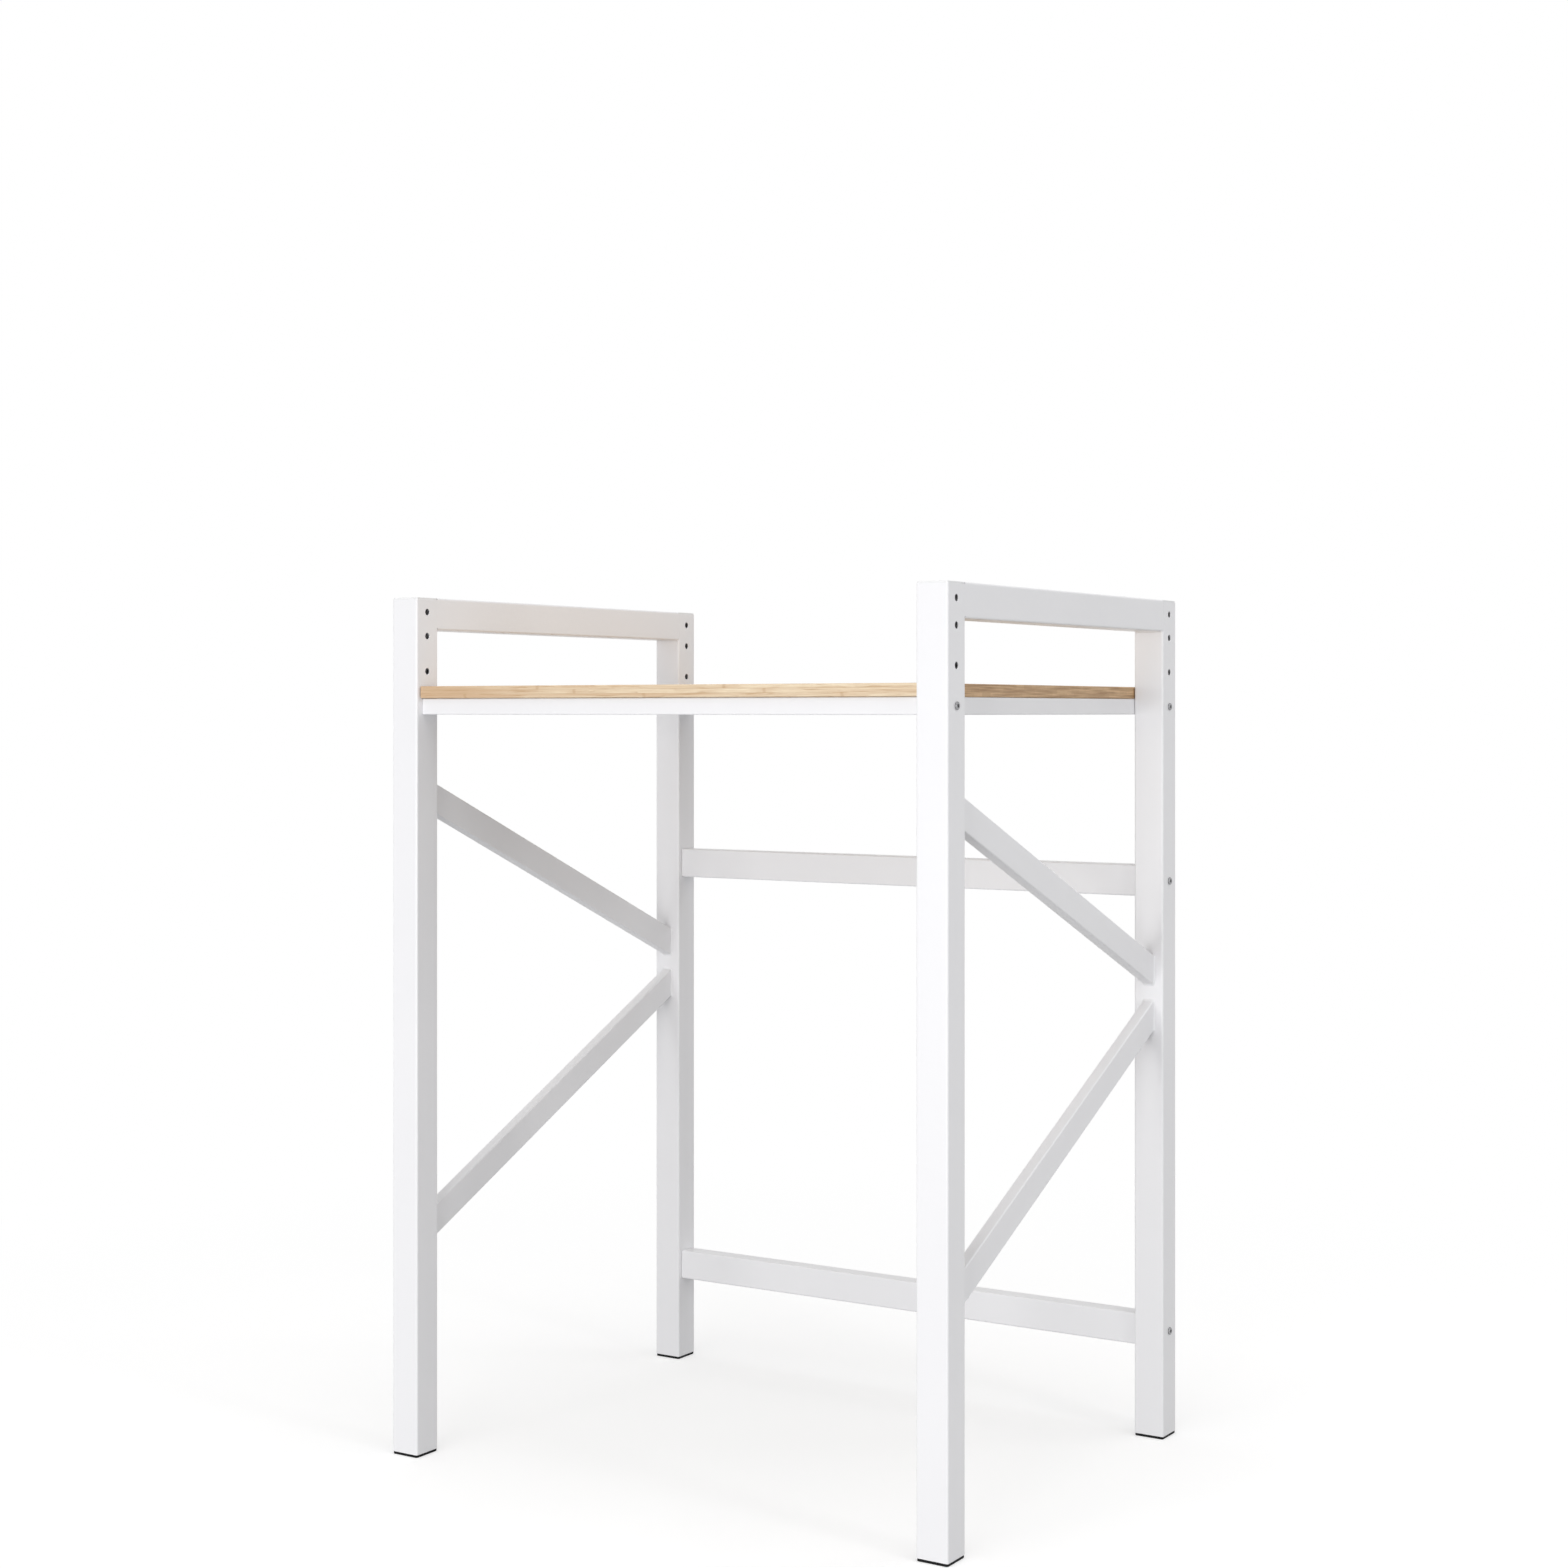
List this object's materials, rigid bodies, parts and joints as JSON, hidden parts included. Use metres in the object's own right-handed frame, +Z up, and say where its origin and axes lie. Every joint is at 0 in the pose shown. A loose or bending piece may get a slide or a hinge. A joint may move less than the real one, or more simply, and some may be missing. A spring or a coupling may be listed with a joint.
{
  "type": "washer dryer stacking stand",
  "caption": "Open steel stand in white square tube with K braced side frames, back rails and a bolted bamboo shelf that carries a dryer over a washing machine.",
  "frame": {"origin": "on the floor, in the middle of the stand's footprint", "axes": "+Z up; the open front, which the machines' doors face, is towards -Y; +X is to the right as seen from the front"},
  "size_m": [0.794, 0.61, 1.07],
  "materials": {
    "white_powder_coat": "satin white powder coat",
    "white_plastic": "matt white moulded plastic",
    "black_plastic": "matt black moulded plastic",
    "bamboo": "oiled laminated bamboo",
    "dark_steel": "dark grey phosphated steel",
    "zinc_steel": "bright zinc plate"
  },
  "bodies": {
    "root": {"post_front_left": "white_powder_coat", "post_front_right": "white_powder_coat", "post_rear_left": "white_powder_coat", "post_rear_right": "white_powder_coat", "top_rail_left": "white_powder_coat", "top_rail_right": "white_powder_coat", "brace_upper_left": "white_powder_coat", "brace_upper_right": "white_powder_coat", "brace_lower_left": "white_powder_coat", "brace_lower_right": "white_powder_coat", "back_rail_upper": "white_powder_coat", "back_rail_lower": "white_powder_coat", "shelf_rail_front": "white_powder_coat", "shelf_rail_rear": "white_powder_coat", "shelf_rail_left": "white_powder_coat", "shelf_rail_right": "white_powder_coat", "shelf_bar_left": "white_powder_coat", "shelf_bar_right": "white_powder_coat", "shelf_board": "bamboo", "foot_front_left": "black_plastic", "foot_front_right": "black_plastic", "foot_rear_left": "black_plastic", "foot_rear_right": "black_plastic", "cap_front_left": "white_plastic", "cap_front_right": "white_plastic", "cap_rear_left": "white_plastic", "cap_rear_right": "white_plastic", "shelf_bolt_front_left": "dark_steel", "shelf_bolt_front_right": "dark_steel", "shelf_bolt_rear_left": "dark_steel", "shelf_bolt_rear_right": "dark_steel", "rail_bolt_upper_left": "dark_steel", "rail_bolt_upper_right": "dark_steel", "rail_bolt_lower_left": "dark_steel", "rail_bolt_lower_right": "dark_steel", "shelf_block_front_left": "zinc_steel", "shelf_block_front_right": "zinc_steel", "shelf_block_rear_left": "zinc_steel", "shelf_block_rear_right": "zinc_steel", "rail_block_upper_left": "zinc_steel", "rail_block_upper_right": "zinc_steel", "rail_block_lower_left": "zinc_steel", "rail_block_lower_right": "zinc_steel", "board_screw_1": "zinc_steel", "board_screw_2": "zinc_steel", "board_screw_3": "zinc_steel", "board_screw_4": "zinc_steel", "board_screw_5": "zinc_steel", "board_screw_6": "zinc_steel"}
  },
  "joints": []
}
